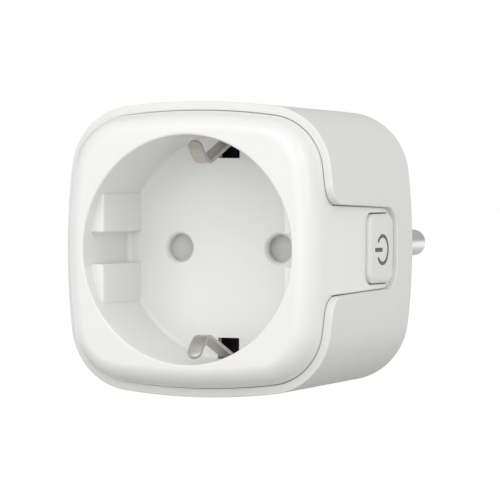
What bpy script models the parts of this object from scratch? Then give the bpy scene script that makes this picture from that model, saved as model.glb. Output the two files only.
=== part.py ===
"""Compact smart plug: a recessed earthed socket in front, a round two-pin plug behind.

Metres, +Z up. The socket faces -Y and the plug pins point to +Y. The origin is the centre of
the plug's rear engagement face. Inside this script every piece is placed by its depth behind
the front face, and one empty moves the whole assembly so that the plug face lies at y = 0.
"""
import math

import bmesh
import bpy
from mathutils import Matrix, Vector

# ---------------------------------------------------------------- driving dimensions (metres)
GAP = 0.0003                      # clearance kept between touching pieces

# outer casing
RIM_DEPTH = 0.0055                # casing rim plane, behind the front face
CASING_DEPTH = 0.0430             # casing's flat back
PLUG_FACE_DEPTH = 0.0603          # end face of the round plug boss
RIM_HALF = 0.0253                 # half width of the casing at its rim
TAPER = 0.0259                    # how fast the half width shrinks with depth
SIDE_RADIUS = 0.1137              # gentle bulge of each side
CORNER_RADIUS = 0.01175
WALL = 0.00145
BACK_WALL = 0.0016
BACK_ROUNDING = 0.0015
OVERSHOOT = 0.001                 # how far cutters and joined pieces run past a face

# plug boss
BOSS_RADIUS = 0.0186
BOSS_FLAT = 0.0165                # half distance between the boss's two side flats
BOSS_WALL = 0.0016
BOSS_EDGE = 0.0005
PIN_SPACING = 0.019
PIN_RADIUS = 0.0024
PIN_LENGTH = 0.019
PIN_ROUNDING = 0.0012
PIN_TAIL_RADIUS = 0.0015
PIN_COLLAR_RADIUS = 0.0034
PIN_TAIL_START = 0.0414
PIN_COLLAR_START = 0.0508
PIN_COLLAR_END = 0.0518
CONTACT_WINDOW_LOW = (-0.0031, 0.0448, 0.0140)
CONTACT_WINDOW_HIGH = (0.0031, 0.0584, 0.0200)

# front cover
COVER_HALF = RIM_HALF - WALL - GAP
COVER_THICKNESS = 0.0016
ROLL_WIDTH = 0.0034               # how far in the front edge rolls over
SKIRT_DEPTH = 0.0085
RECESS_RADIUS = 0.01952
RECESS_DEPTH = 0.0175
CUP_WALL = 0.0015
FLOOR_THICKNESS = 0.0014
LAND_FLAT = 0.0169                # half distance between the side lands' flat faces
LAND_FRONT = 0.00272
LAND_INNER = 0.0027
LAND_OUTER = 0.0096
PIN_HOLE_RADIUS = 0.00275
WINDOW_HALF = 0.0020
WINDOW_INNER = 0.01556
WINDOW_OUTER = 0.0216
PIVOT_RADIUS = 0.0015
PIVOT_LENGTH = 0.0045
POST_RADIUS = 0.0022
SCREW_BORE_RADIUS = 0.0013

# tongue of the front cover and its slot in the casing's right side
SLOT_FRONT_HALF = 0.00775
SLOT_BACK_HALF = 0.0071
SLOT_END = 0.0346
SLOT_MOUTH_RADIUS = 0.0034
SLOT_CORNER_RADIUS = 0.0038
TONGUE_BACKING_OUTER = 0.0222     # faces of the wider strip behind the casing wall
TONGUE_BACKING_INNER = 0.0210
TONGUE_BACKING_HALF = 0.0095
TONGUE_BACKING_END = 0.0365

# power button
BUTTON_FRONT = 0.0227
BUTTON_BACK = 0.03315
BUTTON_HALF = 0.0060
BUTTON_CORNER = 0.0020
BUTTON_FACE = 0.0245              # outer face, from the centre plane
BUTTON_FLANGE_HALF = 0.0070
BUTTON_WALL = 0.0010
BUTTON_STEM_RADIUS = 0.0015

# shutter
SHUTTER_RADIUS = 0.0125
SHUTTER_THICKNESS = 0.0020
SHUTTER_BORE_RADIUS = 0.0018
SHUTTER_PASSAGE_RADIUS = 0.0028
SHUTTER_TURN = math.radians(38.0)
DIMPLE_DEPTH = 0.0005
DIMPLE_FRONT_RADIUS = 0.0025
DIMPLE_BACK_RADIUS = 0.0019

# bent metal
EARTH_THICKNESS = 0.0008
EARTH_BAR_WIDTH = 0.0050
REAR_CONTACT_WIDTH = 0.0054
CLIP_WIDTH = 0.0026
CLIP_THICKNESS = 0.00075

PIN_SIDES = (("live", -1.0), ("neutral", 1.0))
ENDS = (("top", 1.0), ("bottom", -1.0))

# ---------------------------------------------------------------- scene and helpers
for old in list(bpy.data.objects):
    bpy.data.objects.remove(old, do_unlink=True)

PARTS = bpy.data.collections.new("smart_plug")
CUTTERS = bpy.data.collections.new("cutters")
for collection in (PARTS, CUTTERS):
    bpy.context.scene.collection.children.link(collection)

ORIGIN = bpy.data.objects.new("front_face_centre", None)
ORIGIN.location = (0.0, -PLUG_FACE_DEPTH, 0.0)
PARTS.objects.link(ORIGIN)


def material(name, colour, roughness, metallic=0.0):
    """A Principled material."""
    made = bpy.data.materials.new(name)
    made.use_nodes = True
    shader = made.node_tree.nodes["Principled BSDF"]
    shader.inputs["Base Color"].default_value = (*colour, 1.0)
    shader.inputs["Roughness"].default_value = roughness
    shader.inputs["Metallic"].default_value = metallic
    return made


GLOSS_WHITE = material("gloss_white", (0.86, 0.87, 0.86), 0.22)
MATTE_WHITE = material("matte_white", (0.78, 0.78, 0.76), 0.55)
LIGHT_GREY = material("light_grey", (0.62, 0.62, 0.60), 0.5)
BLACK = material("black_insulator", (0.03, 0.03, 0.03), 0.6)
NICKEL = material("nickel", (0.62, 0.59, 0.54), 0.3, 1.0)
BRASS = material("brass", (0.75, 0.58, 0.30), 0.3, 1.0)
STEEL = material("steel", (0.55, 0.55, 0.55), 0.35, 1.0)
BOARD_GREEN = material("board_green", (0.03, 0.19, 0.09), 0.5)
COPPER = material("copper", (0.72, 0.36, 0.20), 0.35, 1.0)
BLUE = material("blue_coating", (0.05, 0.12, 0.42), 0.5)
YELLOW = material("yellow_case", (0.70, 0.55, 0.12), 0.5)


def place(made, finish=None, location=(0.0, 0.0, 0.0), cutter=False):
    """Link an object, hang it on the front face empty and give it its finish."""
    made.parent = ORIGIN
    made.location = location
    if finish is not None:
        made.data.materials.clear()
        made.data.materials.append(finish)
    if cutter:
        made.hide_render = True
        made.display_type = "WIRE"
    (CUTTERS if cutter else PARTS).objects.link(made)
    return made


def from_bmesh(name, mesh_data, **placing):
    """Turn a bmesh into an object with its faces pointing out."""
    bmesh.ops.recalc_face_normals(mesh_data, faces=mesh_data.faces)
    mesh = bpy.data.meshes.new(name)
    mesh_data.to_mesh(mesh)
    mesh_data.free()
    return place(bpy.data.objects.new(name, mesh), **placing)


def box(name, low, high, bevel=0.0, **placing):
    """A box between two corners, with rounded edges where bevel is given."""
    low, high = Vector(low), Vector(high)
    mesh_data = bmesh.new()
    sizing = Matrix.Diagonal((*(high - low), 1.0))
    bmesh.ops.create_cube(mesh_data, size=1.0, matrix=Matrix.Translation((low + high) / 2) @ sizing)
    made = from_bmesh(name, mesh_data, **placing)
    if bevel:
        rounding = made.modifiers.new("rounding", "BEVEL")
        rounding.width = bevel
        rounding.segments = 2
    return made


AXIS_TURNS = {
    "X": Matrix.Rotation(math.radians(90.0), 4, "Y"),
    "Y": Matrix.Rotation(math.radians(-90.0), 4, "X"),
    "Z": Matrix.Identity(4),
}


def cylinder(name, start, length, radius, axis="Y", segments=32, end_radius=None, **placing):
    """A cylinder or cone that starts at a point and runs along +axis."""
    mesh_data = bmesh.new()
    matrix = Matrix.Translation(start) @ AXIS_TURNS[axis] @ Matrix.Translation((0.0, 0.0, length / 2))
    bmesh.ops.create_cone(mesh_data, cap_ends=True, segments=segments, radius1=radius,
                          radius2=radius if end_radius is None else end_radius,
                          depth=length, matrix=matrix)
    made = from_bmesh(name, mesh_data, **placing)
    smooth(made)
    return made


def smooth(made, angle=math.radians(40.0)):
    """Shade smooth, with sharp edges kept."""
    made.data.shade_smooth()
    made.data.set_sharp_from_angle(angle=angle)


def loft(name, rings, **placing):
    """A closed solid through rings of equal point count."""
    mesh_data = bmesh.new()
    loops = [[mesh_data.verts.new(point) for point in ring] for ring in rings]
    count = len(loops[0])
    for lower, upper in zip(loops, loops[1:]):
        for index in range(count):
            following = (index + 1) % count
            mesh_data.faces.new((lower[index], lower[following], upper[following], upper[index]))
    mesh_data.faces.new(loops[0])
    mesh_data.faces.new(reversed(loops[-1]))
    made = from_bmesh(name, mesh_data, **placing)
    smooth(made)
    return made


def plate(name, outlines, thickness, plane, offset=0.0, **placing):
    """A flat outline with holes, extruded. The first outline is the outside.

    plane "XZ" stands across the depth and plane "YZ" stands along it; offset is the middle of
    the thickness along the plane's normal.
    """
    curve = bpy.data.curves.new(name + "_outline", "CURVE")
    curve.dimensions = "2D"
    curve.fill_mode = "BOTH"
    curve.extrude = thickness / 2
    for outline in outlines:
        spline = curve.splines.new("POLY")
        spline.points.add(len(outline) - 1)
        for point, (first, second) in zip(spline.points, outline):
            point.co = (first, second, 0.0, 1.0)
        spline.use_cyclic_u = True
    drawn = bpy.data.objects.new(name + "_drawn", curve)
    bpy.context.scene.collection.objects.link(drawn)
    evaluated = drawn.evaluated_get(bpy.context.evaluated_depsgraph_get())
    mesh = bpy.data.meshes.new_from_object(evaluated)
    bpy.data.objects.remove(drawn)
    bpy.data.curves.remove(curve)
    mesh.name = name
    columns = {
        "XZ": ((1, 0, 0), (0, 0, 1), (0, 1, 0)),
        "YZ": ((0, 1, 0), (0, 0, 1), (1, 0, 0)),
    }[plane]
    turn = Matrix([Vector(column) for column in columns]).transposed().to_4x4()
    normal = Vector(columns[2])
    mesh_data = bmesh.new()
    mesh_data.from_mesh(mesh)
    bpy.data.meshes.remove(mesh)
    bmesh.ops.remove_doubles(mesh_data, verts=mesh_data.verts, dist=1e-6)
    bmesh.ops.transform(mesh_data, matrix=Matrix.Translation(normal * offset) @ turn,
                        verts=mesh_data.verts)
    return from_bmesh(name, mesh_data, **placing)


def combine(target, other, operation):
    """Cut, join or intersect a piece with a cutter."""
    step = target.modifiers.new(other.name, "BOOLEAN")
    step.operation = operation
    step.object = other
    step.solver = "EXACT"


def mirrored(first, second, sign):
    """Two distances from the centre plane, on one side of it and in rising order."""
    return sorted((sign * first, sign * second))


def cut(target, other):
    combine(target, other, "DIFFERENCE")


def join(target, other):
    combine(target, other, "UNION")


def move_origin(made, origin):
    """Put an object's origin on a joint's axis without moving its shape."""
    made.data.transform(Matrix.Translation(-Vector(origin)))
    made.location = origin


# ---------------------------------------------------------------- outlines
def arc(centre, radius, start, end, steps):
    """Points on an arc, ends included; angles in degrees."""
    angles = [math.radians(start + (end - start) * step / steps) for step in range(steps + 1)]
    return [(centre[0] + radius * math.cos(a), centre[1] + radius * math.sin(a)) for a in angles]


def circle(centre, radius, steps):
    return arc(centre, radius, 0.0, 360.0, steps)[:-1]


def rounded_rectangle(low, high, radius, steps=4):
    (left, bottom), (right, top) = low, high
    corners = (((right, top), 0), ((left, top), 90), ((left, bottom), 180), ((right, bottom), 270))
    points = []
    for (x, z), start in corners:
        centre = (x - math.copysign(radius, x - left - radius),
                  z - math.copysign(radius, z - bottom - radius))
        points += arc(centre, radius, start, start + 90, steps)
    return points


def pillow_outline(half, inset=0.0, side_steps=4, corner_steps=7):
    """A square with bulging sides and round corners, inset from the casing's own outline."""
    side_radius = SIDE_RADIUS - inset
    corner_radius = CORNER_RADIUS - inset
    side_centre = half - side_radius
    reach = side_radius - corner_radius
    corner = (side_centre + math.sqrt(2 * reach ** 2 - side_centre ** 2)) / 2
    swing = math.degrees(math.atan2(corner, corner - side_centre))
    quarter = arc((side_centre, 0.0), side_radius, 0.0, swing, side_steps)
    quarter += arc((corner, corner), corner_radius, swing, 90.0 - swing, corner_steps)[1:-1]
    quarter += [(z, x) for x, z in arc((side_centre, 0.0), side_radius, swing, 0.0, side_steps)][:-1]
    points = []
    for turn in range(4):
        cosine, sine = round(math.cos(turn * math.pi / 2)), round(math.sin(turn * math.pi / 2))
        points += [(x * cosine - z * sine, x * sine + z * cosine) for x, z in quarter]
    return points


def at_depth(outline, depth):
    """Stand an outline of (x, z) points up at a depth."""
    return [(x, depth, z) for x, z in outline]


def casing_half(depth):
    return RIM_HALF - TAPER * (depth - RIM_DEPTH)


def boss_outline(inset=0.0, steps=12):
    """A circle with a flat on its left and its right."""
    radius = BOSS_RADIUS - inset
    flat = BOSS_FLAT - inset
    edge = math.degrees(math.acos(flat / radius))
    top = arc((0, 0), radius, edge, 180 - edge, steps)
    return top + arc((0, 0), radius, 180 + edge, 360 - edge, steps)


def slot_outline(inset, mouth):
    """The slot in the casing's right side, as (depth, z), open at its mouth depth."""
    front, back, end = SLOT_FRONT_HALF - inset, SLOT_BACK_HALF - inset, SLOT_END - inset
    mouth_radius = SLOT_MOUTH_RADIUS + inset
    corner = SLOT_CORNER_RADIUS - inset
    upper = [(mouth, front + mouth_radius)]
    upper += arc((RIM_DEPTH + mouth_radius, front + mouth_radius), mouth_radius, 180, 270, 6)
    upper += arc((end - corner, back - corner), corner, 90, 0, 5)
    return upper + [(depth, -z) for depth, z in reversed(upper)]


def bent_strip(path, thickness):
    """The outline of a strip that follows a path, with mitred bends."""
    points = [Vector(point) for point in path]
    sides = ([], [])
    for index, point in enumerate(points):
        before = (point - points[index - 1]).normalized() if index else None
        after = (points[index + 1] - point).normalized() if index < len(points) - 1 else None
        along = ((before or after) + (after or before)).normalized()
        normal = Vector((-along.y, along.x))
        stretch = 1.0 / max(normal.dot(Vector((-(after or before).y, (after or before).x))), 0.5)
        for side, sign in zip(sides, (0.5, -0.5)):
            side.append(tuple(point + normal * thickness * sign * stretch))
    return sides[0] + sides[1][::-1]


def softened(path, radius, steps=3):
    """A path whose corners are replaced with short curves."""
    points = [Vector(point) for point in path]
    result = [points[0]]
    for before, corner, after in zip(points, points[1:], points[2:]):
        reach = min(radius, 0.4 * (before - corner).length, 0.4 * (after - corner).length)
        start = corner + (before - corner).normalized() * reach
        end = corner + (after - corner).normalized() * reach
        for step in range(steps + 1):
            share = step / steps
            result.append(start.lerp(corner, share).lerp(corner.lerp(end, share), share))
    return result + [points[-1]]


# ---------------------------------------------------------------- casing
def make_rear_casing():
    rounding = [(CASING_DEPTH - BACK_ROUNDING * (1 - math.sin(math.radians(a))),
                 BACK_ROUNDING * (1 - math.cos(math.radians(a)))) for a in (0, 30, 60, 90)]
    rings = [at_depth(pillow_outline(casing_half(RIM_DEPTH)), RIM_DEPTH)]
    rings += [at_depth(pillow_outline(casing_half(depth) - drop, drop), depth) for depth, drop in rounding]
    casing = loft("rear_casing", rings, finish=MATTE_WHITE)

    boss = loft("boss_body", [at_depth(boss_outline(), CASING_DEPTH - BACK_WALL / 2),
                              at_depth(boss_outline(), PLUG_FACE_DEPTH - BOSS_EDGE),
                              at_depth(boss_outline(BOSS_EDGE), PLUG_FACE_DEPTH)], cutter=True)
    join(casing, boss)

    inside_end = CASING_DEPTH - BACK_WALL
    cavity = loft("casing_cavity", [
        at_depth(pillow_outline(casing_half(depth) - WALL, WALL), depth)
        for depth in (RIM_DEPTH - OVERSHOOT, inside_end)], cutter=True)
    cut(casing, cavity)
    boss_cavity = loft("boss_cavity", [
        at_depth(boss_outline(BOSS_WALL), inside_end - OVERSHOOT),
        at_depth(boss_outline(BOSS_WALL), PLUG_FACE_DEPTH - BOSS_WALL)], cutter=True)
    cut(casing, boss_cavity)

    slot = plate("tongue_slot", [slot_outline(0.0, RIM_DEPTH - 2 * OVERSHOOT)], 5 * WALL, "YZ",
                 offset=RIM_HALF, cutter=True)
    cut(casing, slot)

    for side, sign in PIN_SIDES:
        start = (sign * PIN_SPACING / 2, PLUG_FACE_DEPTH - BOSS_WALL - OVERSHOOT, 0.0)
        bore = cylinder(side + "_pin_bore", start, BOSS_WALL + 2 * OVERSHOOT, PIN_RADIUS + GAP, cutter=True)
        cut(casing, bore)
    for end, sign in ENDS:
        (left, front, inner), (right, back, outer) = CONTACT_WINDOW_LOW, CONTACT_WINDOW_HIGH
        low, high = mirrored(inner, outer, sign)
        cut(casing, box(end + "_contact_window", (left, front, low), (right, back, high), cutter=True))
    return casing


# ---------------------------------------------------------------- front cover
SCREW_POSTS = ((0.0115, 0.0099), (-0.0115, -0.0099))
POST_END = 0.0236
SCREW_BORE_START = 0.0197
FLOOR_BACK = RECESS_DEPTH + FLOOR_THICKNESS


def rolled_front(name, inset, back, **placing):
    """The cover's pillow shape: a flat front whose edge rolls back into a straight skirt."""
    half = COVER_HALF - inset
    width, depth = ROLL_WIDTH, RIM_DEPTH - inset
    rings = []
    for angle in (90, 75, 60, 45, 30, 15, 0):
        drop = width * (1 - math.cos(math.radians(angle)))
        y = inset + depth * (1 - math.sin(math.radians(angle)))
        rings.append(at_depth(pillow_outline(half - drop, WALL + GAP + inset + drop), y))
    tapered = half - TAPER * (back - RIM_DEPTH)
    rings.append(at_depth(pillow_outline(tapered, WALL + GAP + inset), back))
    return loft(name, rings, **placing)


def make_front_cover():
    cover = rolled_front("front_cover", 0.0, SKIRT_DEPTH, finish=GLOSS_WHITE)
    cut(cover, rolled_front("cover_cavity", COVER_THICKNESS, SKIRT_DEPTH + OVERSHOOT, cutter=True))

    panel_inside = (TONGUE_BACKING_OUTER + TONGUE_BACKING_INNER) / 2
    panel_outside = COVER_HALF + OVERSHOOT
    tongue = plate("tongue", [slot_outline(GAP, RIM_DEPTH - OVERSHOOT)], panel_outside - panel_inside,
                   "YZ", offset=(panel_outside + panel_inside) / 2, cutter=True)
    envelope = loft("tongue_envelope", [at_depth(pillow_outline(COVER_HALF, WALL + GAP), depth)
                                        for depth in (RIM_DEPTH, CASING_DEPTH)], cutter=True)
    combine(tongue, envelope, "INTERSECT")
    join(cover, tongue)
    join(cover, box("tongue_backing",
                    (TONGUE_BACKING_INNER, SKIRT_DEPTH - OVERSHOOT, -TONGUE_BACKING_HALF),
                    (TONGUE_BACKING_OUTER, TONGUE_BACKING_END, TONGUE_BACKING_HALF), cutter=True))

    cup_start = COVER_THICKNESS / 2
    join(cover, cylinder("cup_outside", (0.0, cup_start, 0.0), FLOOR_BACK - cup_start,
                         RECESS_RADIUS + CUP_WALL, segments=72, cutter=True))
    post_start = FLOOR_BACK - FLOOR_THICKNESS / 2
    join(cover, cylinder("pivot_post", (0.0, post_start, 0.0), FLOOR_BACK + PIVOT_LENGTH - post_start,
                         PIVOT_RADIUS, segments=20, cutter=True))
    for number, (x, z) in enumerate(SCREW_POSTS):
        join(cover, cylinder("screw_post_%d" % number, (x, post_start, z), POST_END - post_start,
                             POST_RADIUS, segments=20, cutter=True))

    cut(cover, cylinder("recess", (0.0, -OVERSHOOT, 0.0), RECESS_DEPTH + OVERSHOOT, RECESS_RADIUS,
                        segments=72, cutter=True))
    for number, (side, end) in enumerate(((1, 1), (1, -1), (-1, 1), (-1, -1))):
        left, right = mirrored(LAND_FLAT, RECESS_RADIUS + CUP_WALL, side)
        low, high = mirrored(LAND_INNER, LAND_OUTER, end)
        land_back = RECESS_DEPTH + FLOOR_THICKNESS / 2
        land = box("land_%d" % number, (left, LAND_FRONT, low), (right, land_back, high), cutter=True)
        limit = cylinder("land_limit_%d" % number, (0.0, OVERSHOOT, 0.0), FLOOR_BACK - OVERSHOOT,
                         RECESS_RADIUS + CUP_WALL / 2, segments=72, cutter=True)
        combine(land, limit, "INTERSECT")
        join(cover, land)

    for side, sign in PIN_SIDES:
        start = (sign * PIN_SPACING / 2, RECESS_DEPTH - OVERSHOOT, 0.0)
        cut(cover, cylinder(side + "_pin_hole", start, FLOOR_THICKNESS + 2 * OVERSHOOT, PIN_HOLE_RADIUS,
                            cutter=True))
    for end, sign in ENDS:
        low, high = mirrored(WINDOW_INNER, WINDOW_OUTER, sign)
        cut(cover, box(end + "_clip_window", (-WINDOW_HALF, RECESS_DEPTH, low),
                       (WINDOW_HALF, FLOOR_BACK + OVERSHOOT, high), cutter=True))
    for number, (x, z) in enumerate(SCREW_POSTS):
        cut(cover, cylinder("screw_bore_%d" % number, (x, SCREW_BORE_START, z),
                            POST_END - SCREW_BORE_START + OVERSHOOT, SCREW_BORE_RADIUS, segments=16,
                            cutter=True))

    outline = rounded_rectangle((BUTTON_FRONT - GAP, -BUTTON_HALF - GAP),
                                (BUTTON_BACK + GAP, BUTTON_HALF + GAP), BUTTON_CORNER + GAP)
    reach = COVER_HALF - TONGUE_BACKING_INNER + OVERSHOOT
    cut(cover, plate("button_opening", [outline], 2 * reach, "YZ", offset=COVER_HALF, cutter=True))
    return cover


# ---------------------------------------------------------------- button and its switch
BUTTON_MIDDLE = (BUTTON_FRONT + BUTTON_BACK) / 2
FLANGE_TOP = TONGUE_BACKING_INNER - GAP
FLANGE_BOTTOM = FLANGE_TOP - 0.00075
BOARD_FACE = 0.0166               # outer face of the upright control board
BOARD_THICKNESS = 0.0012
SWITCH_HALF = 0.0030
SWITCH_TOP = 0.0191
PLUNGER_TOP = 0.0199
PLUNGER_BOTTOM = 0.0182
PLUNGER_RADIUS = 0.00175
SWITCH_WELL_BOTTOM = 0.0175


def button_ring(inset, x):
    outline = rounded_rectangle((BUTTON_FRONT + inset, -BUTTON_HALF + inset),
                                (BUTTON_BACK - inset, BUTTON_HALF - inset), BUTTON_CORNER - inset)
    return [(x, y, z) for y, z in outline]


def make_power_button():
    shoulder = ((0.0, 0.0006), (0.0001, 0.00035), (0.00032, 0.00012), (0.0008, 0.0))
    rings = [button_ring(0.0, FLANGE_BOTTOM + GAP)]
    rings += [button_ring(inset, BUTTON_FACE - drop) for inset, drop in shoulder]
    button = loft("power_button", rings, finish=GLOSS_WHITE)
    join(button, box("button_flange", (FLANGE_BOTTOM, BUTTON_FRONT - 0.0010, -BUTTON_FLANGE_HALF),
                     (FLANGE_TOP, BUTTON_BACK + 0.00075, BUTTON_FLANGE_HALF), cutter=True))
    inner_half = BUTTON_HALF - BUTTON_WALL
    cut(button, box("button_hollow", (FLANGE_BOTTOM - OVERSHOOT, BUTTON_FRONT + BUTTON_WALL, -inner_half),
                    (BUTTON_FACE - 0.0012, BUTTON_BACK - BUTTON_WALL, inner_half), cutter=True))
    stem_start, stem_end = PLUNGER_TOP + GAP, BUTTON_FACE - 0.0006
    join(button, cylinder("button_stem", (stem_start, BUTTON_MIDDLE, 0.0), stem_end - stem_start,
                          BUTTON_STEM_RADIUS, axis="X", segments=20, cutter=True))
    move_origin(button, (BUTTON_FACE, BUTTON_MIDDLE, 0.0))
    return button


def make_switch():
    body = box("switch_body", (BOARD_FACE + GAP, BUTTON_MIDDLE - SWITCH_HALF, -SWITCH_HALF),
               (SWITCH_TOP, BUTTON_MIDDLE + SWITCH_HALF, SWITCH_HALF), finish=BLACK)
    cut(body, cylinder("switch_well", (SWITCH_WELL_BOTTOM, BUTTON_MIDDLE, 0.0),
                       SWITCH_TOP - SWITCH_WELL_BOTTOM + OVERSHOOT, PLUNGER_RADIUS + GAP, axis="X",
                       segments=24, cutter=True))
    plunger = cylinder("switch_plunger", (PLUNGER_BOTTOM, BUTTON_MIDDLE, 0.0), PLUNGER_TOP - PLUNGER_BOTTOM,
                       PLUNGER_RADIUS, axis="X", segments=24, finish=LIGHT_GREY)
    move_origin(plunger, (PLUNGER_TOP, BUTTON_MIDDLE, 0.0))


def make_control_board():
    outline = rounded_rectangle((0.0202, -0.0135), (0.0392, 0.0135), 0.001, 2)
    plate("control_board", [outline], BOARD_THICKNESS, "YZ", offset=BOARD_FACE - BOARD_THICKNESS / 2,
          finish=BOARD_GREEN)
    box("status_led", (BOARD_FACE + GAP, BUTTON_MIDDLE - 0.0016, 0.0042),
        (BOARD_FACE + 0.0014, BUTTON_MIDDLE + 0.0016, 0.0058), finish=LIGHT_GREY)
    box("radio_module", (BOARD_FACE + GAP, 0.0225, -0.0128), (0.0190, 0.0365, -0.0046), bevel=0.0003,
        finish=STEEL)


# ---------------------------------------------------------------- shutter
SHUTTER_FRONT = FLOOR_BACK + GAP
SHUTTER_BACK = SHUTTER_FRONT + SHUTTER_THICKNESS
SHUTTER_PEG = (0.0058, -0.00155)
CARRIER_PEG = (0.00385, 0.0039)
PEG_RADIUS = 0.0006
SPRING_START = 0.0218
SPRING_RISE = 0.0013


def make_shutter():
    openings = []
    for side in (0.0, math.pi):
        angle = SHUTTER_TURN + side
        centre = (math.cos(angle) * PIN_SPACING / 2, math.sin(angle) * PIN_SPACING / 2)
        openings.append(circle(centre, SHUTTER_PASSAGE_RADIUS, 24))
    rim, bore = circle((0.0, 0.0), SHUTTER_RADIUS, 48), circle((0.0, 0.0), SHUTTER_BORE_RADIUS, 20)
    shutter = plate("shutter", [rim, bore, *openings], SHUTTER_THICKNESS, "XZ",
                    offset=(SHUTTER_FRONT + SHUTTER_BACK) / 2, finish=LIGHT_GREY)
    lead = DIMPLE_DEPTH / 2
    slope = (DIMPLE_FRONT_RADIUS - DIMPLE_BACK_RADIUS) / DIMPLE_DEPTH
    for side, sign in PIN_SIDES:
        cut(shutter, cylinder(side + "_dimple", (sign * PIN_SPACING / 2, SHUTTER_FRONT - lead, 0.0),
                              DIMPLE_DEPTH + lead, DIMPLE_FRONT_RADIUS + lead * slope,
                              end_radius=DIMPLE_BACK_RADIUS, segments=24, cutter=True))
    (x, z), root = SHUTTER_PEG, SHUTTER_BACK - SHUTTER_THICKNESS / 4
    join(shutter, cylinder("shutter_peg", (x, root, z), 0.0016, PEG_RADIUS, segments=16, cutter=True))
    move_origin(shutter, (0.0, SHUTTER_FRONT, 0.0))


def make_shutter_spring():
    """A torsion spring round the pivot post, with one leg to the shutter and one to the carrier."""
    wire, coil_radius, leg, turns, steps = 0.00025, 0.0027, 0.0045, 2.25, 14
    count = int(turns * steps)
    points = [(0.0066, SPRING_START, -coil_radius)]
    for step in range(count + 1):
        angle = math.radians(-90.0) + 2 * math.pi * step / steps
        depth = SPRING_START + SPRING_RISE * step / count
        points.append((coil_radius * math.cos(angle), depth, coil_radius * math.sin(angle)))
    last = Vector(points[-1])
    points.append(tuple(last + (last - Vector(points[-2])).normalized() * leg))
    curve = bpy.data.curves.new("shutter_spring", "CURVE")
    curve.dimensions = "3D"
    curve.bevel_depth = wire
    curve.bevel_resolution = 1
    curve.use_fill_caps = True
    spline = curve.splines.new("POLY")
    spline.points.add(len(points) - 1)
    for knot, point in zip(spline.points, points):
        knot.co = (*point, 1.0)
    place(bpy.data.objects.new("shutter_spring", curve), finish=STEEL)


# ---------------------------------------------------------------- contacts
CARRIER_FRONT = POST_END + GAP
CARRIER_BACK = 0.0370
CARRIER_THICKNESS = 0.0015
CARRIER_HALF = 0.0142
CARRIER_BLOCK_HALF = 0.0064
CARRIER_PEG_START = 0.0227
BOARD_FRONT = 0.0395              # front face of the main board
SCREW_HEAD_RADIUS = 0.0021
SCREW_HEAD_HEIGHT = 0.0016
SCREW_SHANK_RADIUS = 0.0010
SCREW_SHANK_START = 0.0202


def make_contact_carrier():
    """A screwed-down plate with guards behind the clip windows and a block with two contact wells."""
    front, back = CARRIER_FRONT, CARRIER_FRONT + CARRIER_THICKNESS
    outline = rounded_rectangle((-CARRIER_HALF, -0.0128), (CARRIER_HALF, 0.0128), 0.002)
    carrier = plate("contact_carrier", [outline], CARRIER_THICKNESS, "XZ", offset=(front + back) / 2,
                    finish=BLACK)
    for end, sign in ENDS:
        low, high = mirrored(0.0120, 0.0215, sign)
        join(carrier, box(end + "_window_guard", (-0.0060, front, low), (0.0060, back, high), cutter=True))
        low, high = mirrored(BAR_HEIGHT - EARTH_THICKNESS, BAR_HEIGHT + EARTH_THICKNESS, sign)
        half = EARTH_BAR_WIDTH / 2 + GAP
        cut(carrier, box(end + "_bar_passage", (-half, front - OVERSHOOT, low),
                         (half, back + OVERSHOOT, high), cutter=True))
    join(carrier, box("carrier_block", (-CARRIER_HALF, front + CARRIER_THICKNESS / 2, -CARRIER_BLOCK_HALF),
                      (CARRIER_HALF, CARRIER_BACK, CARRIER_BLOCK_HALF), cutter=True))
    (x, z), root = CARRIER_PEG, front + CARRIER_THICKNESS / 3
    join(carrier, cylinder("carrier_peg", (x, CARRIER_PEG_START, z), root - CARRIER_PEG_START, PEG_RADIUS,
                           segments=16, cutter=True))
    for side, sign in PIN_SIDES:
        left, right = mirrored(0.0060, 0.0130, sign)
        cut(carrier, box(side + "_contact_well", (left, front - OVERSHOOT, -0.0047),
                         (right, CARRIER_BACK + OVERSHOOT, 0.0047), cutter=True))
    for number, (x, z) in enumerate(SCREW_POSTS):
        cut(carrier, cylinder("carrier_hole_%d" % number, (x, front - OVERSHOOT, z),
                              CARRIER_THICKNESS + 2 * OVERSHOOT, SCREW_BORE_RADIUS, segments=16, cutter=True))


def make_screws():
    """Cross-slotted screws that hold the carrier to the cover's posts."""
    head_start = CARRIER_FRONT + CARRIER_THICKNESS + GAP
    shank_length = head_start + SCREW_HEAD_HEIGHT / 3 - SCREW_SHANK_START
    slot_length, slot_width, slot_floor = 0.0013, 0.0002, 0.0009
    for name, (x, z) in zip(("carrier_screw_upper", "carrier_screw_lower"), SCREW_POSTS):
        screw = cylinder(name, (x, head_start, z), SCREW_HEAD_HEIGHT, SCREW_HEAD_RADIUS, segments=20,
                         finish=STEEL)
        join(screw, cylinder(name + "_shank", (x, SCREW_SHANK_START, z), shank_length, SCREW_SHANK_RADIUS,
                             segments=16, cutter=True))
        for turn in (0.0, 90.0):
            slot = box("%s_slot_%d" % (name, turn), (-slot_length, slot_floor, -slot_width),
                       (slot_length, SCREW_HEAD_HEIGHT + OVERSHOOT, slot_width),
                       location=(x, head_start, z), cutter=True)
            slot.rotation_euler = (0.0, math.radians(turn), 0.0)
            cut(screw, slot)


def make_pin_contacts():
    """Lyre contacts: two leaves that grip the inserted pin, joined behind its tip."""
    thickness, width = 0.0006, 0.0056
    upper = [(0.0265, 0.0037), (0.0300, 0.0029), (0.0345, 0.0036), (0.0376, 0.0036)]
    path = upper + [(y, -z) for y, z in reversed(upper)]
    for side, sign in PIN_SIDES:
        plate(side + "_contact", [bent_strip(softened(path, 0.0008, 2), thickness)], width, "YZ",
              offset=sign * PIN_SPACING / 2, finish=BRASS)


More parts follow.
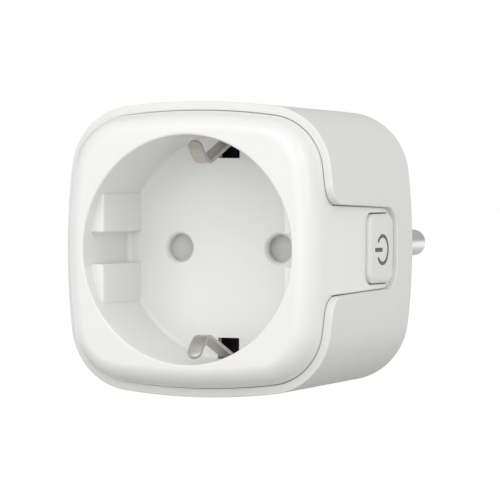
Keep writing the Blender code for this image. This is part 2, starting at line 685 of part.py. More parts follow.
# ---------------------------------------------------------------- earth path
BAR_HEIGHT = 0.0200
BAR_BACK = 0.0377
BAR_FRONT = 0.0210
CLIP_HINGE = (0.0206, 0.01985)
CLIP_PATH = (CLIP_HINGE, (0.0170, 0.01855), (0.0071, 0.01505), (0.0061, 0.01512), (0.0047, 0.0164),
             (0.0031, 0.0184))
REAR_CONTACT_PATH = ((0.0384, 0.0160), (0.0456, 0.0160), (0.0472, 0.0178), (0.0564, 0.0178),
                     (0.0576, 0.0164))


def make_earth_bar():
    path = [(BAR_FRONT, BAR_HEIGHT), (BAR_BACK, BAR_HEIGHT)]
    path += [(depth, -height) for depth, height in reversed(path)]
    plate("earth_bar", [bent_strip(softened(path, 0.0012), EARTH_THICKNESS)], EARTH_BAR_WIDTH, "YZ",
          finish=NICKEL)


def make_earth_clips():
    """Spring clips: up from the floor window, over a rounded apex, and back to a free tip."""
    for end, sign in ENDS:
        bent = [(y, sign * z) for y, z in softened(CLIP_PATH, 0.0006, 2)]
        clip = plate("earth_clip_" + end, [bent_strip(bent, CLIP_THICKNESS)], CLIP_WIDTH, "YZ", finish=NICKEL)
        move_origin(clip, (0.0, CLIP_HINGE[0], sign * CLIP_HINGE[1]))


def make_rear_earth_contacts():
    """Bent strips that stand in the boss's top and bottom windows."""
    for end, sign in ENDS:
        bent = [(y, sign * z) for y, z in softened(REAR_CONTACT_PATH, 0.0007, 2)]
        plate("rear_earth_contact_" + end, [bent_strip(bent, EARTH_THICKNESS)], REAR_CONTACT_WIDTH, "YZ",
              finish=NICKEL)


# ---------------------------------------------------------------- plug pins
def make_pins():
    """Turned pins: a thin tail to the board, a collar, a straight pin and a rounded tip."""
    tip = PLUG_FACE_DEPTH + PIN_LENGTH
    for side, sign in PIN_SIDES:
        profile = [(0.0, tip)]
        profile += [(PIN_RADIUS - PIN_ROUNDING * (1 - math.sin(math.radians(a))),
                     tip - PIN_ROUNDING * (1 - math.cos(math.radians(a)))) for a in (0, 22.5, 45, 67.5, 90)]
        profile += [(PIN_RADIUS, PIN_COLLAR_END), (PIN_COLLAR_RADIUS, PIN_COLLAR_END),
                    (PIN_COLLAR_RADIUS, PIN_COLLAR_START), (PIN_TAIL_RADIUS, PIN_COLLAR_START),
                    (PIN_TAIL_RADIUS, PIN_TAIL_START), (0.0, PIN_TAIL_START)]
        mesh = bpy.data.meshes.new(side + "_pin")
        mesh.from_pydata([(radius, 0.0, height) for radius, height in profile],
                         [(index, index + 1) for index in range(len(profile) - 1)], [])
        pin = place(bpy.data.objects.new(side + "_pin", mesh), finish=NICKEL,
                    location=(sign * PIN_SPACING / 2, 0.0, 0.0))
        pin.rotation_euler = (math.radians(-90.0), 0.0, 0.0)
        turned = pin.modifiers.new("turned", "SCREW")
        turned.steps = turned.render_steps = 32
        turned.use_merge_vertices = True
        turned.merge_threshold = 1e-5
        turned.use_smooth_shade = True


def make_pin_carrier():
    """The block inside the boss that steadies the pins."""
    front, back = PIN_COLLAR_END + GAP, 0.0583
    carrier = box("pin_carrier", (-0.0136, front, -0.0050), (0.0136, back, 0.0050), finish=BLACK)
    for side, sign in PIN_SIDES:
        start = (sign * PIN_SPACING / 2, front - OVERSHOOT, 0.0)
        cut(carrier, cylinder(side + "_carrier_bore", start, back - front + 2 * OVERSHOOT, PIN_RADIUS + GAP,
                              cutter=True))


# ---------------------------------------------------------------- electronics
def make_main_board():
    """The board across the casing, with a slot for the root of each rear earth contact."""
    thickness, half = 0.0016, 0.0031
    outlines = [pillow_outline(0.0219, 0.0030, side_steps=2, corner_steps=4)]
    for _, sign in ENDS:
        low, high = mirrored(0.0152, 0.0168, sign)
        outlines.append([(-half, low), (half, low), (half, high), (-half, high)])
    plate("main_board", outlines, thickness, "XZ", offset=BOARD_FRONT + thickness / 2, finish=BOARD_GREEN)


def make_relay():
    """An open-backed cover over the coil and the hinged armature."""
    low, high = Vector((-0.0203, 0.0269, 0.0072)), Vector((-0.0031, BOARD_FRONT - GAP, 0.0174))
    wall = 0.0008
    cover = box("relay_cover", low, high, finish=BLACK)
    cut(cover, box("relay_hollow", low + Vector((wall, wall, wall)),
                   high + Vector((-wall, OVERSHOOT, -wall)), cutter=True))
    cylinder("relay_coil", (-0.0186, 0.0335, 0.0123), 0.0110, 0.0037, axis="X", segments=28, finish=COPPER)
    armature = box("relay_armature", (-0.0070, 0.0288, 0.0092), (-0.0064, 0.0385, 0.0154), finish=STEEL)
    move_origin(armature, (-0.0067, 0.0385, 0.0123))


def make_small_components():
    back = BOARD_FRONT - GAP
    cylinder("bulk_capacitor", (0.0086, 0.0282, 0.0132), back - 0.0282, 0.0040, segments=28, finish=BLUE)
    box("film_capacitor", (-0.0190, 0.0287, -0.0132), (-0.0060, back, -0.0077), bevel=0.0004, finish=YELLOW)
    cylinder("varistor", (-0.0130, back - 0.0045, -0.0178), 0.0032, 0.0045, axis="Z", segments=28,
             finish=BLUE)
    cylinder("fuse_resistor", (-0.0050, 0.0300, -0.0162), back - 0.0300, 0.0016, segments=20,
             finish=BOARD_GREEN)
    core = box("transformer", (0.0032, 0.0300, -0.0182), (0.0140, 0.0368, -0.0084), finish=BLACK)
    join(core, box("transformer_bobbin", (0.0048, 0.0280, -0.0168), (0.0124, back, -0.0098), cutter=True))
    box("bridge_rectifier", (0.0062, 0.0368, 0.0177), (0.0110, back, 0.0201), finish=BLACK)
    shunt = [(back, -0.0035), (0.0362, -0.0035), (0.0362, 0.0035), (back, 0.0035)]
    plate("current_shunt", [bent_strip(softened(shunt, 0.0010), 0.0007)], 0.0015, "YZ", offset=-0.0162,
          finish=COPPER)


make_rear_casing()
make_front_cover()
make_power_button()
make_switch()
make_control_board()
make_shutter()
make_shutter_spring()
make_contact_carrier()
make_screws()
make_pin_contacts()
make_earth_bar()
make_earth_clips()
make_rear_earth_contacts()
make_pins()
make_pin_carrier()
make_main_board()
make_relay()
make_small_components()
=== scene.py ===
"""Compact smart plug: finished shapes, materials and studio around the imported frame."""
import math

import bmesh
import bpy
from mathutils import Matrix, Vector


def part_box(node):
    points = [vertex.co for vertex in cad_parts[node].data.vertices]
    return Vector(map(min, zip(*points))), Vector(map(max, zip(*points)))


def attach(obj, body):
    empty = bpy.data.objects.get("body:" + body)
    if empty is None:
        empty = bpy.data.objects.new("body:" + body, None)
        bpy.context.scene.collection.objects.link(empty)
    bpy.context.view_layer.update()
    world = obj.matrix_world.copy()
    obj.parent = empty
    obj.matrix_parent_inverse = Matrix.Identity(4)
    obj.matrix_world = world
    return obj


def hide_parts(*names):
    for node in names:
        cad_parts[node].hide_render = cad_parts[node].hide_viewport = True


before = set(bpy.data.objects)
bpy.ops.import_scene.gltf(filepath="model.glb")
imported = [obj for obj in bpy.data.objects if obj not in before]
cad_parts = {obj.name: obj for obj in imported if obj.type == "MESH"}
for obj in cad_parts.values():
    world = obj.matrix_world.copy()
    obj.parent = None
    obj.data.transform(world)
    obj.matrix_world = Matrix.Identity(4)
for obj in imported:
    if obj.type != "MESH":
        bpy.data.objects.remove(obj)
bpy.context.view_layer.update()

# ---------------------------------------------------------------- dimensions, in millimetres
# Shapes are drawn in millimetres, with y as the depth behind the front face.
MM = 0.001
FRONT_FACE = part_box("front_cover")[0].y
TO_FRAME = Matrix.Translation((0.0, FRONT_FACE, 0.0)) @ Matrix.Scale(MM, 4)

RIM_DEPTH = 5.5
CASING_DEPTH = 43.0
PLUG_FACE = 60.3
RIM_HALF = 25.3
TAPER = 0.0259
SIDE_RADIUS = 113.7
CORNER_RADIUS = 11.75
WALL = 1.55
GAP = 0.06
FIT = 0.3
BACK_WALL = 1.6
BACK_ROUNDING = 1.5
COVER_HALF = RIM_HALF - WALL - GAP
COVER_THICKNESS = 1.6
ROLL_WIDTH = 3.6
SKIRT_DEPTH = 8.5

BOSS_RADIUS = 18.6
BOSS_FLAT = 16.5
BOSS_WALL = 1.6
BOSS_ROUNDING = 0.7
REAR_WINDOW_HALF = 3.1
REAR_WINDOW_FRONT = 44.8
REAR_WINDOW_BACK = 58.4
REAR_WINDOW_INNER = 14.0
REAR_WINDOW_OUTER = 20.0
PIN_X = 9.5
PIN_RADIUS = 2.4
PIN_TIP = 79.3
PIN_ROUNDING = 1.0
PIN_END = 41.4
PIN_COLLAR_START = 50.8
PIN_COLLAR_END = 51.8
PIN_COLLAR_RADIUS = 3.4
PIN_SHANK_RADIUS = 1.5

RECESS_RADIUS = 19.52
RECESS_DEPTH = 17.5
RECESS_RIM = 0.4
RECESS_CORNER = 0.9
CUP_WALL = 1.5
FLOOR_BACK = 18.9
LAND_FLAT = 16.9
LAND_FRONT = 2.72
LAND_INNER = 2.7
LAND_OUTER = 9.6
HOLE_RADIUS = 2.4
WINDOW_HALF = 2.0
WINDOW_INNER = 15.56
WINDOW_OUTER = 21.6
POSTS = ((11.5, 9.9), (-11.5, -9.9))
POST_RADIUS = 2.2
POST_LENGTH = 5.2
POST_BORE_START = 19.7
POST_BORE_RADIUS = 1.3
PIVOT_RADIUS = 1.5
PIVOT_LENGTH = 5.0
SINK = 0.5

SLOT_FRONT_HALF = 7.75
SLOT_BACK_HALF = 7.1
SLOT_END = 34.6
SLOT_MOUTH_RADIUS = 3.4
SLOT_CORNER_RADIUS = 3.8
BACKING_OUTER = 22.2
BACKING_INNER = 21.0
BACKING_HALF = 9.5
BACKING_END = 36.5
TONGUE_EDGE = 0.26

BUTTON_FRONT = 22.7
BUTTON_BACK = 33.15
BUTTON_HALF = 6.0
BUTTON_CORNER = 2.1
BUTTON_FACE = 24.5
BUTTON_GAP = 0.17
SHOULDER_WIDTH = 1.15
SHOULDER_HEIGHT = 0.55
FLANGE_BACK = 19.95
FLANGE_FACE = 20.7
FLANGE_HALF = 7.0
HOLLOW_HALF = 5.0
BUTTON_WALL = 1.0
STEM_RADIUS = 1.5

SHUTTER_FRONT = FLOOR_BACK + FIT
SHUTTER_BACK = SHUTTER_FRONT + 2.0
SHUTTER_RADIUS = 12.5
SHUTTER_BORE_RADIUS = 1.8
SHUTTER_TURN = 38.0
PASSAGE_RADIUS = 2.8
RAMP_HALF = 1.1

CLIP_WIDTH = 2.6
CLIP_THICKNESS = 0.75
CLIP_TIP = 1.15
CLIP_PATH = [(20.6, 19.85), (17.0, 18.55), (6.85, 14.7), (4.6, 16.5), (3.05, 18.45)]
REAR_CONTACT_WIDTH = 5.4
REAR_CONTACT_THICKNESS = 0.8
REAR_CONTACT_PATH = [(38.4, 16.0), (45.6, 16.0), (47.2, 17.8), (56.4, 17.8), (57.6, 16.4)]

ENDS = (("top", 1.0), ("bottom", -1.0))
PINS = (("live", -1.0), ("neutral", 1.0))


# ---------------------------------------------------------------- outlines
def arc(centre, radius, start, end, steps):
    """Points on an arc, ends included; angles in degrees."""
    angles = [math.radians(start + (end - start) * step / steps) for step in range(steps + 1)]
    return [(centre[0] + radius * math.cos(a), centre[1] + radius * math.sin(a)) for a in angles]


def rounded_rectangle(low, high, radius, steps=8):
    (left, bottom), (right, top) = low, high
    corners = ((right - radius, top - radius, 0), (left + radius, top - radius, 90),
               (left + radius, bottom + radius, 180), (right - radius, bottom + radius, 270))
    points = []
    for x, z, start in corners:
        points += arc((x, z), radius, start, start + 90, steps)
    return points


def pillow(half, inset=0.0, side_steps=5, corner_steps=16):
    """A square with bulging sides and round corners, inset from the casing's own outline."""
    side_radius = SIDE_RADIUS - inset
    corner_radius = CORNER_RADIUS - inset
    side_centre = half - side_radius
    reach = side_radius - corner_radius
    corner = (side_centre + math.sqrt(2 * reach ** 2 - side_centre ** 2)) / 2
    swing = math.degrees(math.atan2(corner, corner - side_centre))
    side = arc((side_centre, 0.0), side_radius, 0.0, swing, side_steps)
    quarter = side + arc((corner, corner), corner_radius, swing, 90.0 - swing, corner_steps)[1:-1]
    quarter += [(z, x) for x, z in reversed(side)][:-1]
    points = []
    for cosine, sine in ((1, 0), (0, 1), (-1, 0), (0, -1)):
        points += [(x * cosine - z * sine, x * sine + z * cosine) for x, z in quarter]
    return points


def boss_outline(inset=0.0, steps=36):
    radius = BOSS_RADIUS - inset
    flat = BOSS_FLAT - inset
    edge = math.degrees(math.acos(flat / radius))
    upper = arc((0, 0), radius, edge, 180 - edge, steps)
    return upper + arc((0, 0), radius, 180 + edge, 360 - edge, steps)


def slot_outline(inset, mouth):
    """The slot in the casing's right side, as (depth, z), open at its mouth depth."""
    front, back, end = SLOT_FRONT_HALF - inset, SLOT_BACK_HALF - inset, SLOT_END - inset
    mouth_radius = SLOT_MOUTH_RADIUS + inset
    corner = SLOT_CORNER_RADIUS - inset
    upper = [(mouth, front + mouth_radius)]
    upper += arc((RIM_DEPTH + mouth_radius, front + mouth_radius), mouth_radius, 180, 270, 12)
    upper += arc((end - corner, back - corner), corner, 90, 0, 10)
    return upper + [(depth, -z) for depth, z in reversed(upper)]


def at_depth(outline, depth):
    return [(x, depth, z) for x, z in outline]


def across(outline, x):
    """Stand an outline of (depth, z) points up at a distance to the right."""
    return [(x, depth, z) for depth, z in outline]


def casing_half(depth):
    return RIM_HALF - TAPER * (depth - RIM_DEPTH)


def softened(path, radius, steps):
    """A path whose corners are replaced with short curves."""
    points = [Vector(point) for point in path]
    result = [points[0]]
    for before, corner, after in zip(points, points[1:], points[2:]):
        reach = min(radius, 0.48 * (before - corner).length, 0.48 * (after - corner).length)
        start = corner + (before - corner).normalized() * reach
        end = corner + (after - corner).normalized() * reach
        for step in range(steps + 1):
            share = step / steps
            result.append(start.lerp(corner, share).lerp(corner.lerp(end, share), share))
    return result + [points[-1]]


# ---------------------------------------------------------------- meshes
def mesh_of(name, mesh_data):
    """A finished bmesh as a mesh, with its faces pointing out."""
    bmesh.ops.remove_doubles(mesh_data, verts=mesh_data.verts, dist=1e-5)
    bmesh.ops.recalc_face_normals(mesh_data, faces=mesh_data.faces)
    mesh = bpy.data.meshes.new(name)
    mesh_data.to_mesh(mesh)
    mesh_data.free()
    return mesh


def loft(name, rings):
    """A closed solid through rings of equal point count."""
    mesh_data = bmesh.new()
    loops = [[mesh_data.verts.new(point) for point in ring] for ring in rings]
    for lower, upper in zip(loops, loops[1:]):
        for index in range(len(lower)):
            following = (index + 1) % len(lower)
            mesh_data.faces.new((lower[index], lower[following], upper[following], upper[index]))
    mesh_data.faces.new(loops[0])
    mesh_data.faces.new(reversed(loops[-1]))
    return mesh_of(name, mesh_data)


def turned(name, profile, centre=(0.0, 0.0), segments=96):
    """A solid of revolution about a line along the depth; the profile is (radius, depth)."""
    mesh_data = bmesh.new()
    rows = []
    for radius, depth in profile:
        if radius < 1e-6:
            rows.append([mesh_data.verts.new((centre[0], depth, centre[1]))])
        else:
            rows.append([mesh_data.verts.new((centre[0] + x, depth, centre[1] + z))
                         for x, z in arc((0, 0), radius, 0, 360, segments)[:-1]])
    for lower, upper in zip(rows, rows[1:]):
        for index in range(segments):
            following = (index + 1) % segments
            corners = [lower[index % len(lower)], lower[following % len(lower)],
                       upper[following % len(upper)], upper[index % len(upper)]]
            distinct = list(dict.fromkeys(corners))
            if len(distinct) > 2:
                mesh_data.faces.new(distinct)
    for row in (rows[0], rows[-1]):
        if len(row) > 1:
            mesh_data.faces.new(row)
    return mesh_of(name, mesh_data)


def block(name, low, high, bevel=0.0, segments=3):
    """A box between two corners, with rounded edges."""
    low, high = Vector(low), Vector(high)
    mesh_data = bmesh.new()
    sizing = Matrix.Diagonal((*(high - low), 1.0))
    bmesh.ops.create_cube(mesh_data, size=1.0, matrix=Matrix.Translation((low + high) / 2) @ sizing)
    if bevel:
        bmesh.ops.bevel(mesh_data, geom=mesh_data.edges, offset=bevel, segments=segments, profile=0.5,
                        affect="EDGES")
    return mesh_of(name, mesh_data)


def rod(name, start, length, radius, segments=48):
    """A round bar that runs back from a start point."""
    x, depth, z = start
    return turned(name, [(radius, depth), (radius, depth + length)], (x, z), segments)


def rounded_edges(mesh, width, segments=3, angle=50.0):
    """Round every edge sharper than an angle."""
    return built(mesh, [], width, segments, angle)


def built(base, steps, bevel=0.0, segments=3, angle=40.0):
    """A base mesh after adding, cutting or intersecting others, and rounding its sharp edges."""
    holder = bpy.data.objects.new("work", base)
    bpy.context.scene.collection.objects.link(holder)
    tools = []
    for operation, mesh in steps:
        tool = bpy.data.objects.new("tool", mesh)
        bpy.context.scene.collection.objects.link(tool)
        tools.append(tool)
        step = holder.modifiers.new("step", "BOOLEAN")
        step.operation = operation
        step.object = tool
        step.solver = "EXACT"
    if bevel:
        weld = holder.modifiers.new("weld", "WELD")
        weld.merge_threshold = 0.004
        rounding = holder.modifiers.new("rounding", "BEVEL")
        rounding.width = bevel
        rounding.segments = segments
        rounding.limit_method = "ANGLE"
        rounding.angle_limit = math.radians(angle)
        rounding.use_clamp_overlap = False
    evaluated = holder.evaluated_get(bpy.context.evaluated_depsgraph_get())
    made = bpy.data.meshes.new_from_object(evaluated)
    for used in (holder, *tools):
        bpy.data.objects.remove(used)
    return made


# How far each ring of a strip's round end lies from the very end, as shares of the rounding.
TIP_SHARES = (1.0, 0.8, 0.62, 0.47, 0.34, 0.23, 0.14, 0.07, 0.025, 0.0)
NARROWEST_TIP = 0.02
STRIP_EDGE = 0.16


def strip(name, path, width, thickness, tip=0.0):
    """A flat strip bent along a path of (depth, z), with softened long edges and a rounded end."""
    points = [Vector(point) for point in path]
    lengths = [0.0]
    for before, after in zip(points, points[1:]):
        lengths.append(lengths[-1] + (after - before).length)
    stations = []
    for index, point in enumerate(points):
        before = points[max(index - 1, 0)]
        after = points[min(index + 1, len(points) - 1)]
        stations.append((point, (after - before).normalized(), lengths[-1] - lengths[index]))
    if tip:
        end, along, _ = stations.pop()
        while stations[-1][2] < tip:
            stations.pop()
        for share in TIP_SHARES:
            stations.append((end - along * tip * share, along, tip * share))
    rings = []
    for point, along, left in stations:
        normal = Vector((-along.y, along.x))
        half = width / 2
        if left < tip:
            inward = tip - left
            half = width / 2 - tip + math.sqrt(max(tip ** 2 - inward ** 2, NARROWEST_TIP ** 2))
        section = rounded_rectangle((-half, -thickness / 2), (half, thickness / 2), STRIP_EDGE, 3)
        rings.append([(x, point.x + normal.x * h, point.y + normal.y * h) for x, h in section])
    return loft(name, rings)


# ---------------------------------------------------------------- materials
# Pattern scales are in features per metre, and depths are in metres.
FLOW_SCALE = 90.0
SHEEN_SCALE = 320.0
WAVE_SCALE = 60.0
COAT_ROUGHNESS = 0.1
TARNISH_SCALE = 420.0
PIT_SCALE = 5200.0
PIT_DEPTH = 0.0000015
LINE_DEPTH = 0.000002
TRACK_SCALE = 420.0
TRACK_DEPTH = 0.00002


def node_material(name):
    made = bpy.data.materials.new(name)
    made.use_nodes = True
    nodes = made.node_tree.nodes
    shader = nodes["Principled BSDF"]
    place = nodes.new("ShaderNodeTexCoord")
    return made, nodes, made.node_tree.links, shader, place.outputs["Object"]


def noise(nodes, links, coordinates, scale, detail=2.0, stretch=None):
    """A noise pattern; scale is in features per metre."""
    texture = nodes.new("ShaderNodeTexNoise")
    texture.inputs["Scale"].default_value = scale
    texture.inputs["Detail"].default_value = detail
    if stretch:
        mapping = nodes.new("ShaderNodeMapping")
        mapping.inputs["Scale"].default_value = stretch
        links.new(coordinates, mapping.inputs["Vector"])
        coordinates = mapping.outputs["Vector"]
    links.new(coordinates, texture.inputs["Vector"])
    return texture.outputs["Fac"]


def spread(nodes, links, value, low, high):
    """Map the middle of a noise pattern to a range."""
    mapped = nodes.new("ShaderNodeMapRange")
    mapped.inputs["From Min"].default_value = 0.3
    mapped.inputs["From Max"].default_value = 0.7
    mapped.inputs["To Min"].default_value = low
    mapped.inputs["To Max"].default_value = high
    links.new(value, mapped.inputs["Value"])
    return mapped.outputs["Result"]


def blend_colours(nodes, links, value, first, second):
    mixed = nodes.new("ShaderNodeMix")
    mixed.data_type = "RGBA"
    mixed.inputs["A"].default_value = (*first, 1.0)
    mixed.inputs["B"].default_value = (*second, 1.0)
    links.new(value, mixed.inputs["Factor"])
    return mixed.outputs["Result"]


def bumped(nodes, links, shader, layers):
    """Stack bump layers, each (height pattern, depth in metres)."""
    previous = None
    for height, depth in layers:
        bump = nodes.new("ShaderNodeBump")
        bump.inputs["Strength"].default_value = 1.0
        bump.inputs["Distance"].default_value = depth
        links.new(height, bump.inputs["Height"])
        if previous:
            links.new(previous, bump.inputs["Normal"])
        previous = bump.outputs["Normal"]
    links.new(previous, shader.inputs["Normal"])


def plastic(name, colour, second, roughness, grain, grain_depth, waviness=0.0, coat=0.0):
    """Moulded plastic: a fine grain, faint flow variation, and a slow waviness where it is polished."""
    made, nodes, links, shader, place = node_material(name)
    flow = noise(nodes, links, place, FLOW_SCALE, 3.0)
    links.new(blend_colours(nodes, links, spread(nodes, links, flow, 0.0, 1.0), colour, second),
              shader.inputs["Base Color"])
    fine = noise(nodes, links, place, grain, 2.0)
    sheen = noise(nodes, links, place, SHEEN_SCALE, 3.0)
    links.new(spread(nodes, links, sheen, roughness * 0.9, roughness * 1.1), shader.inputs["Roughness"])
    layers = [(fine, grain_depth)]
    if waviness:
        layers.insert(0, (noise(nodes, links, place, WAVE_SCALE, 0.0), waviness))
    bumped(nodes, links, shader, layers)
    shader.inputs["IOR"].default_value = 1.5
    if coat:
        shader.inputs["Coat Weight"].default_value = coat
        shader.inputs["Coat Roughness"].default_value = COAT_ROUGHNESS
    return made


def metal(name, colour, second, roughness, brush):
    """Plated sheet or bar: drawn lines along one direction, faint tarnish and small pits."""
    made, nodes, links, shader, place = node_material(name)
    tarnish = noise(nodes, links, place, TARNISH_SCALE, 4.0)
    links.new(blend_colours(nodes, links, spread(nodes, links, tarnish, 0.0, 1.0), colour, second),
              shader.inputs["Base Color"])
    lines = noise(nodes, links, place, 1.0, 3.0, brush)
    links.new(spread(nodes, links, lines, roughness * 0.85, roughness * 1.2), shader.inputs["Roughness"])
    pits = noise(nodes, links, place, PIT_SCALE, 1.0)
    bumped(nodes, links, shader, [(lines, LINE_DEPTH), (pits, PIT_DEPTH)])
    shader.inputs["Metallic"].default_value = 1.0
    return made


def board(name):
    """Solder mask with faint tracks underneath."""
    made, nodes, links, shader, place = node_material(name)
    tracks = nodes.new("ShaderNodeTexBrick")
    tracks.inputs["Scale"].default_value = TRACK_SCALE
    tracks.inputs["Mortar Size"].default_value = 0.06
    tracks.inputs["Color1"].default_value = (0.012, 0.10, 0.045, 1.0)
    tracks.inputs["Color2"].default_value = (0.016, 0.13, 0.055, 1.0)
    tracks.inputs["Mortar"].default_value = (0.03, 0.21, 0.09, 1.0)
    links.new(place, tracks.inputs["Vector"])
    links.new(tracks.outputs["Color"], shader.inputs["Base Color"])
    sheen = noise(nodes, links, place, 900.0)
    links.new(spread(nodes, links, sheen, 0.3, 0.42), shader.inputs["Roughness"])
    bumped(nodes, links, shader, [(tracks.outputs["Fac"], TRACK_DEPTH)])
    return made


COVER_WHITE = plastic("cover_white", (0.85, 0.85, 0.84), (0.835, 0.835, 0.825), 0.33, 2600.0, 0.0000008,
                      waviness=0.000006, coat=0.45)
CASING_WHITE = plastic("casing_white", (0.80, 0.80, 0.78), (0.785, 0.785, 0.765), 0.5, 5200.0, 0.000006)
BUTTON_WHITE = plastic("button_white", (0.80, 0.80, 0.79), (0.78, 0.78, 0.77), 0.42, 5200.0, 0.000004)
SHUTTER_GREY = plastic("shutter_grey", (0.66, 0.665, 0.65), (0.63, 0.635, 0.62), 0.45, 4200.0, 0.000004)
# Black plastic; on the carriers it also paints the shade seen through the windows.
BLACK_AND_PAINTED_SHADE = plastic("black_insulator", (0.04, 0.04, 0.04), (0.05, 0.05, 0.05), 0.55, 3600.0, 0.000006)
SYMBOL_GREY = plastic("symbol_grey", (0.10, 0.10, 0.098), (0.12, 0.12, 0.117), 0.5, 4200.0, 0.000002)
BLUE = plastic("blue_coating", (0.03, 0.09, 0.36), (0.025, 0.07, 0.30), 0.35, 1800.0, 0.00001)
YELLOW = plastic("yellow_case", (0.66, 0.50, 0.09), (0.60, 0.44, 0.07), 0.4, 2200.0, 0.000006)
NICKEL = metal("nickel", (0.64, 0.61, 0.56), (0.58, 0.55, 0.50), 0.34, (9000.0, 500.0, 500.0))
PIN_NICKEL = metal("pin_nickel", (0.95, 0.945, 0.93), (0.92, 0.91, 0.895), 0.36, (600.0, 9000.0, 600.0))
BRASS = metal("brass", (0.74, 0.56, 0.28), (0.66, 0.48, 0.22), 0.34, (9000.0, 500.0, 500.0))
STEEL = metal("steel", (0.55, 0.55, 0.55), (0.48, 0.48, 0.48), 0.35, (500.0, 500.0, 9000.0))
COPPER = metal("copper", (0.70, 0.33, 0.17), (0.60, 0.26, 0.13), 0.38, (9000.0, 500.0, 500.0))
BOARD = board("solder_mask")


# ---------------------------------------------------------------- pieces
def piece(name, mesh, finish, body, slot, *nodes, sharp=38.0):
    """Bring a mesh into the row frame as a piece of one body, standing for CAD nodes."""
    mesh.transform(TO_FRAME)
    mesh.name = name
    mesh.materials.clear()
    mesh.materials.append(finish)
    mesh.shade_smooth()
    mesh.set_sharp_from_angle(angle=math.radians(sharp))
    made = bpy.data.objects.new(name, mesh)
    bpy.context.scene.collection.objects.link(made)
    weighted = made.modifiers.new("even_shading", "WEIGHTED_NORMAL")
    weighted.keep_sharp = True
    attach(made, body)
    if nodes:
        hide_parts(*nodes)
    return made


def make_casing():
    """The rear shell: its slot, its plug boss, and the boss's bores and windows."""
    rings = [at_depth(pillow(casing_half(RIM_DEPTH)), RIM_DEPTH)]
    for depth in (12.0, 20.0, 28.0, 36.0):
        rings.append(at_depth(pillow(casing_half(depth)), depth))
    for angle in range(0, 91, 15):
        drop = BACK_ROUNDING * (1 - math.cos(math.radians(angle)))
        depth = CASING_DEPTH - BACK_ROUNDING * (1 - math.sin(math.radians(angle)))
        rings.append(at_depth(pillow(casing_half(depth) - drop, drop), depth))
    body = loft("casing", rings)

    boss_rings = [at_depth(boss_outline(), CASING_DEPTH - BACK_WALL / 2)]
    for angle in range(0, 91, 18):
        drop = BOSS_ROUNDING * (1 - math.cos(math.radians(angle)))
        depth = PLUG_FACE - BOSS_ROUNDING * (1 - math.sin(math.radians(angle)))
        boss_rings.append(at_depth(boss_outline(drop), depth))
    inside_end = CASING_DEPTH - BACK_WALL
    cavity = loft("cavity", [at_depth(pillow(casing_half(depth) - WALL, WALL), depth)
                             for depth in (RIM_DEPTH - 1.0, 15.0, 28.0, inside_end)])
    boss_cavity = loft("boss_cavity", [at_depth(boss_outline(BOSS_WALL), inside_end - 1.0),
                                       at_depth(boss_outline(BOSS_WALL), PLUG_FACE - BOSS_WALL)])
    outline = slot_outline(0.0, RIM_DEPTH - 2.0)
    slot = loft("slot", [across(outline, x) for x in (RIM_HALF - 4.0, RIM_HALF + 4.0)])
    steps = [("UNION", loft("boss", boss_rings)), ("DIFFERENCE", cavity), ("DIFFERENCE", boss_cavity),
             ("DIFFERENCE", slot)]
    for _, sign in PINS:
        bore = rod("bore", (sign * PIN_X, PLUG_FACE - 3.0, 0.0), 4.0, PIN_RADIUS + FIT)
        steps.append(("DIFFERENCE", bore))
    for _, sign in ENDS:
        low, high = sorted((sign * REAR_WINDOW_INNER, sign * REAR_WINDOW_OUTER))
        window = block("window", (-REAR_WINDOW_HALF, REAR_WINDOW_FRONT, low),
                       (REAR_WINDOW_HALF, REAR_WINDOW_BACK, high))
        steps.append(("DIFFERENCE", window))
    mesh = built(body, steps, 0.24, 3, 42.0)
    return piece("rear_casing", mesh, CASING_WHITE, "housing", "matte_white", "rear_casing")


def rolled_front(name, inset, back):
    """The cover's pillow shape: a flat front whose edge rolls back into a straight skirt."""
    half = COVER_HALF - inset
    depth = RIM_DEPTH - inset
    rings = []
    for step in range(15):
        angle = math.radians(90 - step * 90 / 14)
        drop = ROLL_WIDTH * (1 - math.cos(angle))
        outline = pillow(half - drop, WALL + GAP + inset + drop)
        rings.append(at_depth(outline, inset + depth * (1 - math.sin(angle))))
    rings.append(at_depth(pillow(half - TAPER * (back - RIM_DEPTH), WALL + GAP + inset), back))
    return loft(name, rings)


def make_land(side, end):
    """A guide land: a flat that runs down the recess wall to its floor."""
    outer = RECESS_RADIUS + 0.75
    first = math.degrees(math.asin(LAND_INNER / outer))
    last = math.degrees(math.asin(LAND_OUTER / outer))
    outline = [(LAND_FLAT, LAND_INNER)] + arc((0, 0), outer, first, last, 8) + [(LAND_FLAT, LAND_OUTER)]
    outline = [(side * x, end * z) for x, z in outline]
    mesh = loft("land", [at_depth(outline, LAND_FRONT), at_depth(outline, RECESS_DEPTH + 0.7)])
    return rounded_edges(mesh, 0.45, 4)


def make_tongue():
    """The raised panel that runs back from the cover into the casing's slot."""
    edge = TONGUE_EDGE
    low = BACKING_OUTER - 0.6
    radius = SIDE_RADIUS - WALL - GAP
    outline = slot_outline(GAP, RIM_DEPTH)[1:]
    upper = outline[:len(outline) // 2]
    rows = [(RIM_DEPTH - 0.3, upper[0][1], 0.03)] + [(depth, half, -0.003) for depth, half in upper]
    end, end_half, _ = rows.pop()
    for angle in (0, 30, 60, 85):
        turn = math.radians(angle)
        rows.append((end - edge * (1 - math.sin(turn)), end_half, edge * (1 - math.cos(turn))))
    rings = []
    for depth, half, drop in rows:
        section = [(low, half)]
        for angle in (0, 30, 60, 90):
            turn = math.radians(angle)
            section.append((-edge * (1 - math.sin(turn)), half - edge * (1 - math.cos(turn))))
        section += [(0.0, (half - edge) * share / 4) for share in (3, 2, 1)]
        section += [(0.0, 0.0)]
        ring = []
        for sign in (1.0, -1.0):
            for x, z in (section if sign > 0 else section[-2::-1]):
                level = COVER_HALF - radius + math.sqrt(radius ** 2 - z ** 2) - drop
                ring.append((x if x == low else level + x, depth, sign * z))
        rings.append(ring)
    return loft("tongue", rings)


